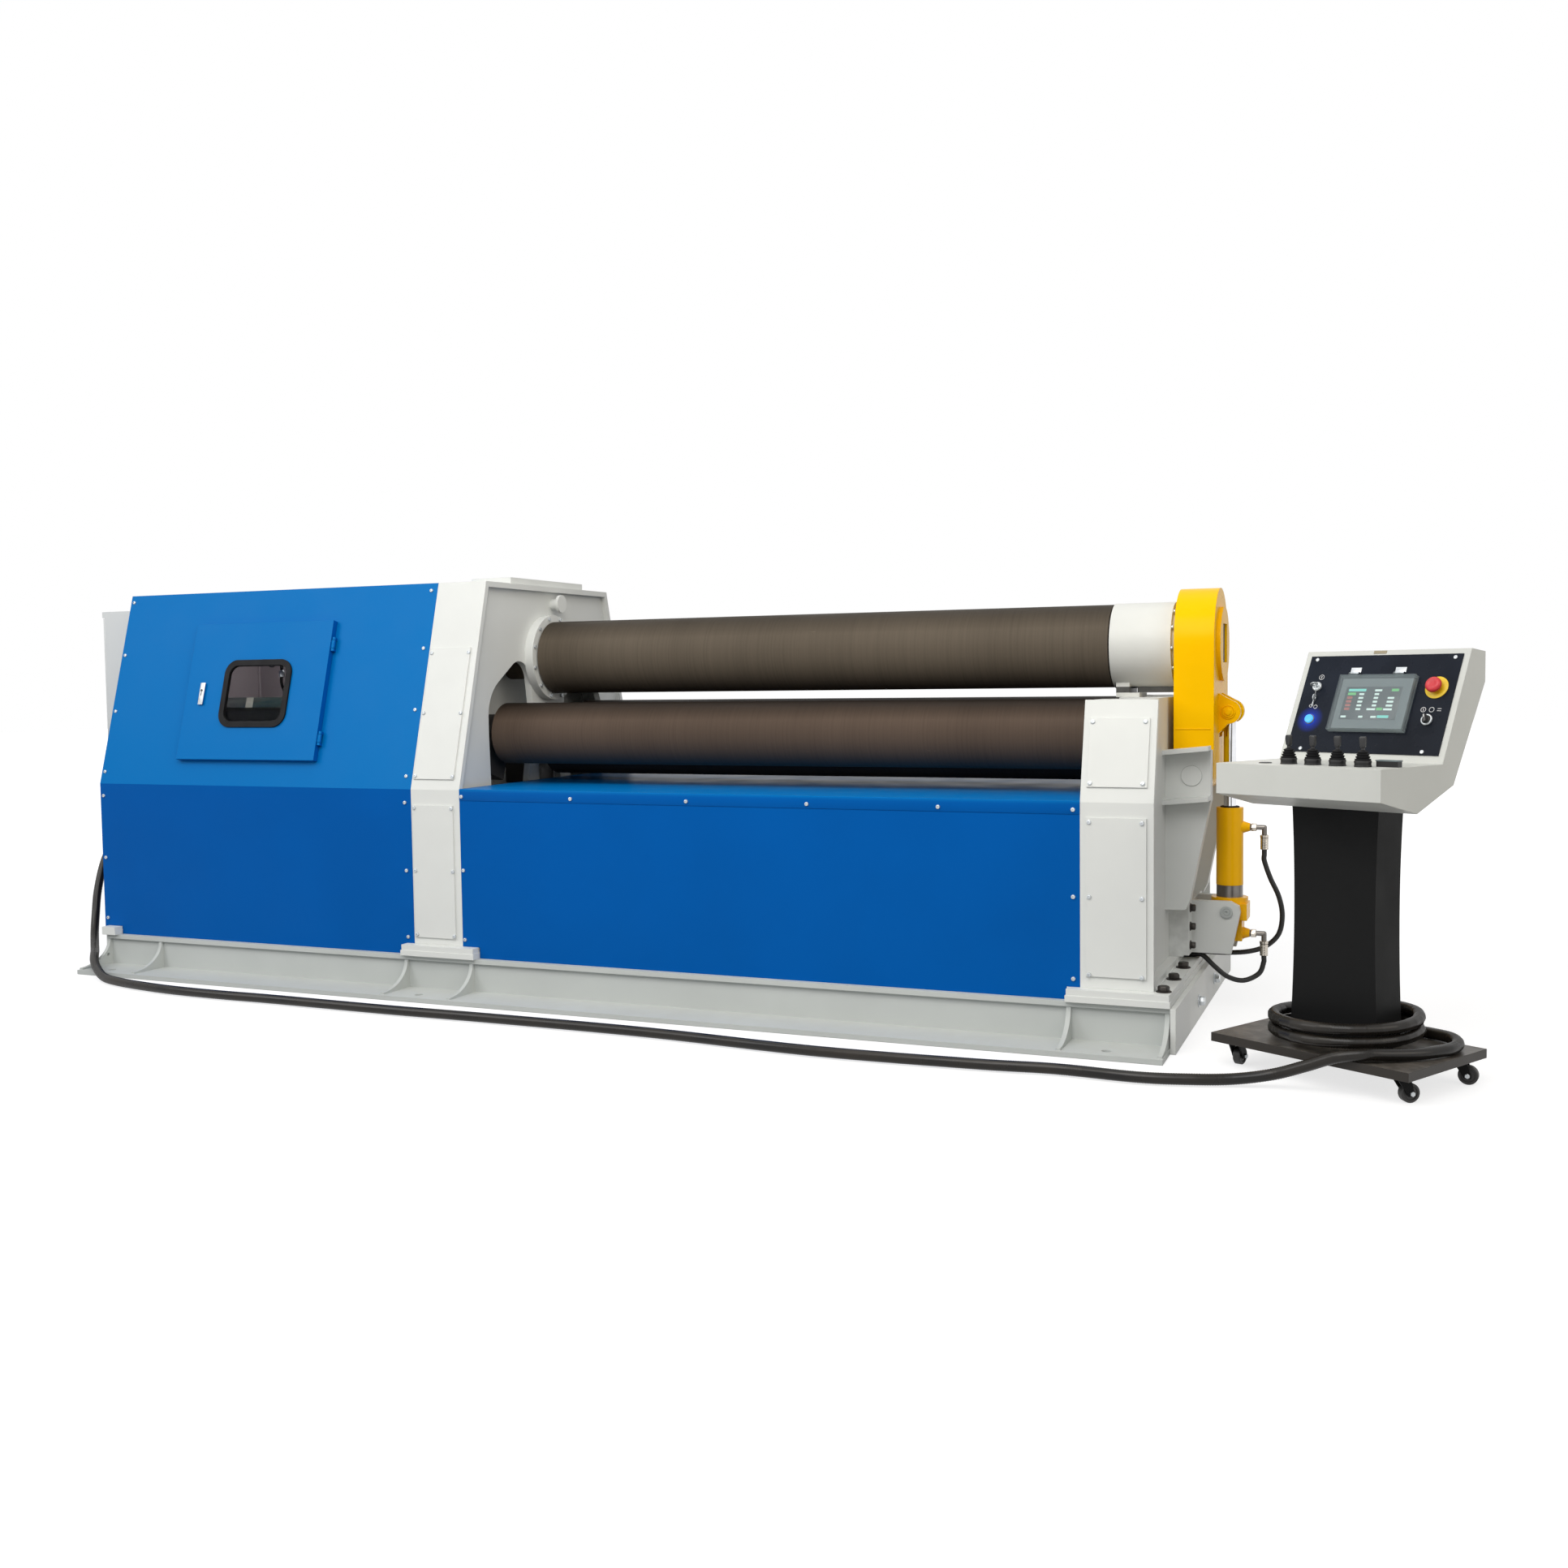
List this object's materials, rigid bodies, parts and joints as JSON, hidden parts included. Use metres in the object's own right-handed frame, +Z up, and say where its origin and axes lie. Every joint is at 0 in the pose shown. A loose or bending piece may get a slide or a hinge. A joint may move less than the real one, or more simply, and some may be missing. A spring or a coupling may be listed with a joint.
{
  "type": "plate rolling machine",
  "caption": "Hydraulic plate rolling machine with a top roll, a bottom roll, side rolls, a drop end that tilts open and a wheeled control console",
  "frame": {"origin": "on the floor under the bed, below the top roll's axis and halfway between the two roll frames", "axes": "+X along the rolls towards the drop end and the console, -Y towards the operator's side, +Z up"},
  "size_m": [5.1907, 1.852, 1.467],
  "materials": {
    "white_paint": "warm white enamel, satin",
    "blue_paint": "blue enamel, glossy",
    "yellow_paint": "yellow enamel, glossy",
    "grey_paint": "light grey enamel, satin",
    "console_paint": "pale grey textured enamel",
    "black_paint": "black powder coat, satin",
    "roll_steel": "turned steel under a dark rust-preventing oil, with rubbed bands",
    "dark_steel": "dark machined steel",
    "rod_chrome": "polished hard chrome",
    "hose_rubber": "matt black rubber",
    "window_glass": "clear pane",
    "screen_glass": "lit display behind clear plastic",
    "clear_plastic": "clear polycarbonate",
    "red_plastic": "red plastic",
    "switch_metal": "bright plated ring",
    "blue_plastic": "lit blue plastic",
    "stick_rubber": "black rubber gaiter and grip",
    "caster_tread": "black tread",
    "conduit_cover": "ribbed black covering, a little dusty"
  },
  "bodies": {
    "machine": {"bed_side_beams": "white_paint", "bed_cross_beams": "white_paint", "bed_end_plates": "white_paint", "bed_pads": "white_paint", "left_frame": "white_paint", "right_frame": "white_paint", "access_covers": "white_paint", "top_roll_bearing_ring": "white_paint", "drop_end_hinge": "white_paint", "hinge_pin": "white_paint", "cylinder_bracket": "grey_paint", "upper_hose": "hose_rubber", "lower_hose": "hose_rubber", "top_roll_end_housing": "white_paint", "roll_covers": "blue_paint", "drive_housing": "blue_paint", "roll_drives": "grey_paint", "power_pack": "grey_paint", "electrical_cabinet": "grey_paint", "console_plinth": "black_paint", "console_column": "black_paint", "console_desk": "console_paint", "control_panel": "black_paint", "touch_screen": "screen_glass", "conduit": "conduit_cover", "conduit_coil": "conduit_cover"},
    "top_roll_body": {"top_roll": "roll_steel"},
    "bottom_carriage": {"bottom_roll_blocks": "dark_steel"},
    "bottom_roll_body": {"bottom_roll": "roll_steel"},
    "front_carriage": {"front_roll_blocks": "dark_steel"},
    "front_roll_body": {"front_side_roll": "roll_steel"},
    "rear_carriage": {"rear_roll_blocks": "dark_steel"},
    "rear_roll_body": {"rear_side_roll": "roll_steel"},
    "drop_end_body": {"drop_end": "yellow_paint"},
    "cylinder_body": {"cylinder_barrel": "yellow_paint"},
    "rod_body": {"cylinder_rod": "rod_chrome"},
    "door_body": {"housing_door": "blue_paint", "door_window": "window_glass", "door_gasket": "hose_rubber"},
    "screen_cover_body": {"screen_cover": "clear_plastic"},
    "stop_body": {"emergency_stop": "red_plastic"},
    "selector_body": {"selector_switch": "switch_metal"},
    "key_body": {"key_switch": "switch_metal"},
    "start_body": {"start_button": "blue_plastic"},
    "stick_body_1": {"joystick_1": "stick_rubber"},
    "stick_body_2": {"joystick_2": "stick_rubber"},
    "stick_body_3": {"joystick_3": "stick_rubber"},
    "stick_body_4": {"joystick_4": "stick_rubber"},
    "fork_body_1": {"caster_fork_1": "black_paint"},
    "wheel_body_1": {"caster_wheel_1": "caster_tread"},
    "fork_body_2": {"caster_fork_2": "black_paint"},
    "wheel_body_2": {"caster_wheel_2": "caster_tread"},
    "fork_body_3": {"caster_fork_3": "black_paint"},
    "wheel_body_3": {"caster_wheel_3": "caster_tread"},
    "fork_body_4": {"caster_fork_4": "black_paint"},
    "wheel_body_4": {"caster_wheel_4": "caster_tread"}
  },
  "joints": [
    {"name": "top_roll_spin", "type": "hinge", "parent": "machine", "child": "top_roll_body", "pos_m": [0, 0, 1.174], "axis": [1, 0, 0], "continuous": true},
    {"name": "bottom_roll_lift", "type": "slide", "parent": "machine", "child": "bottom_carriage", "axis": [0, 0, 1], "range_m": [-0.012, 0.048]},
    {"name": "bottom_roll_spin", "type": "hinge", "parent": "bottom_carriage", "child": "bottom_roll_body", "pos_m": [0, 0, 0.86], "axis": [1, 0, 0], "continuous": true},
    {"name": "front_roll_lift", "type": "slide", "parent": "machine", "child": "front_carriage", "axis": [0, 0.342, 0.9397], "range_m": [-0.05, 0.145]},
    {"name": "front_roll_spin", "type": "hinge", "parent": "front_carriage", "child": "front_roll_body", "pos_m": [0, -0.29, 0.897], "axis": [1, 0, 0], "continuous": true},
    {"name": "rear_roll_lift", "type": "slide", "parent": "machine", "child": "rear_carriage", "axis": [0, -0.342, 0.9397], "range_m": [-0.05, 0.145]},
    {"name": "rear_roll_spin", "type": "hinge", "parent": "rear_carriage", "child": "rear_roll_body", "pos_m": [0, 0.29, 0.897], "axis": [1, 0, 0], "continuous": true},
    {"name": "drop_end_tilt", "type": "hinge", "parent": "machine", "child": "drop_end_body", "pos_m": [1.337, 0, 0.767], "axis": [0, 1, 0], "range_deg": [0, 75]},
    {"name": "cylinder_swing", "type": "hinge", "parent": "machine", "child": "cylinder_body", "pos_m": [1.426, 0, 0.326], "axis": [0, 1, 0], "range_deg": [0, 16.47], "deforming": ["upper_hose", "lower_hose"]},
    {"name": "rod_slide", "type": "slide", "parent": "cylinder_body", "child": "rod_body", "axis": [0, 0, 1], "range_m": [-0.2113, 0]},
    {"name": "housing_door_swing", "type": "hinge", "parent": "machine", "child": "door_body", "pos_m": [-1.694, -0.64152, 0.71565], "axis": [0, 0.2607, 0.9654], "range_deg": [0, 110]},
    {"name": "screen_cover_swing", "type": "hinge", "parent": "machine", "child": "screen_cover_body", "pos_m": [1.88522, -0.59848, 1.07375], "axis": [-0.8712, 0.4909, 0], "range_deg": [0, 110]},
    {"name": "emergency_stop_push", "type": "slide", "parent": "machine", "child": "stop_body", "axis": [0.4442, 0.7883, -0.4258], "range_m": [0, 0.005], "stiffness_N_per_m": 400, "springref_m": -0.004},
    {"name": "start_button_push", "type": "slide", "parent": "machine", "child": "start_body", "axis": [0.4442, 0.7883, -0.4258], "range_m": [0, 0.0025], "stiffness_N_per_m": 250, "springref_m": -0.003},
    {"name": "selector_turn", "type": "hinge", "parent": "machine", "child": "selector_body", "pos_m": [2.00317, -0.72322, 0.95176], "axis": [-0.4442, -0.7883, 0.4258], "range_deg": [-45, 45]},
    {"name": "key_turn", "type": "hinge", "parent": "machine", "child": "key_body", "pos_m": [1.72093, -0.51727, 1.03862], "axis": [-0.4442, -0.7883, 0.4258], "range_deg": [-45, 45]},
    {"name": "joystick_1_tilt", "type": "hinge", "parent": "machine", "child": "stick_body_1", "pos_m": [1.66932, -0.83905, 0.857], "axis": [0.8712, -0.4909, 0], "range_deg": [-18, 18], "stiffness_Nm_per_rad": 1.2},
    {"name": "joystick_2_tilt", "type": "hinge", "parent": "machine", "child": "stick_body_2", "pos_m": [1.73117, -0.87391, 0.857], "axis": [0.8712, -0.4909, 0], "range_deg": [-18, 18], "stiffness_Nm_per_rad": 1.2},
    {"name": "joystick_3_tilt", "type": "hinge", "parent": "machine", "child": "stick_body_3", "pos_m": [1.79303, -0.90876, 0.857], "axis": [0.8712, -0.4909, 0], "range_deg": [-18, 18], "stiffness_Nm_per_rad": 1.2},
    {"name": "joystick_4_tilt", "type": "hinge", "parent": "machine", "child": "stick_body_4", "pos_m": [1.85489, -0.94361, 0.857], "axis": [0.8712, -0.4909, 0], "range_deg": [-18, 18], "stiffness_Nm_per_rad": 1.2},
    {"name": "caster_1_swivel", "type": "hinge", "parent": "machine", "child": "fork_body_1", "pos_m": [1.52749, -0.72815, 0.07], "axis": [0, 0, 1], "continuous": true},
    {"name": "caster_1_roll", "type": "hinge", "parent": "fork_body_1", "child": "wheel_body_1", "pos_m": [1.5348, -0.7074, 0.025], "axis": [-0.9432, 0.3322, 0], "continuous": true},
    {"name": "caster_2_swivel", "type": "hinge", "parent": "machine", "child": "fork_body_2", "pos_m": [1.9509, -0.96673, 0.07], "axis": [0, 0, 1], "continuous": true},
    {"name": "caster_2_roll", "type": "hinge", "parent": "fork_body_2", "child": "wheel_body_2", "pos_m": [1.96984, -0.95553, 0.025], "axis": [-0.509, 0.8607, 0], "continuous": true},
    {"name": "caster_3_swivel", "type": "hinge", "parent": "machine", "child": "fork_body_3", "pos_m": [2.09032, -0.7193, 0.07], "axis": [0, 0, 1], "continuous": true},
    {"name": "caster_3_roll", "type": "hinge", "parent": "fork_body_3", "child": "wheel_body_3", "pos_m": [2.11203, -0.7229, 0.025], "axis": [0.1633, 0.9866, 0], "continuous": true},
    {"name": "caster_4_swivel", "type": "hinge", "parent": "machine", "child": "fork_body_4", "pos_m": [1.66691, -0.48072, 0.07], "axis": [0, 0, 1], "continuous": true},
    {"name": "caster_4_roll", "type": "hinge", "parent": "fork_body_4", "child": "wheel_body_4", "pos_m": [1.65571, -0.46179, 0.025], "axis": [-0.8607, -0.509, 0], "continuous": true}
  ],
  "couplings": [
    {"joint": "cylinder_swing", "follows": "drop_end_tilt", "ratio": 0.21932},
    {"joint": "rod_slide", "follows": "drop_end_tilt", "m_per_rad": -0.16119}
  ]
}
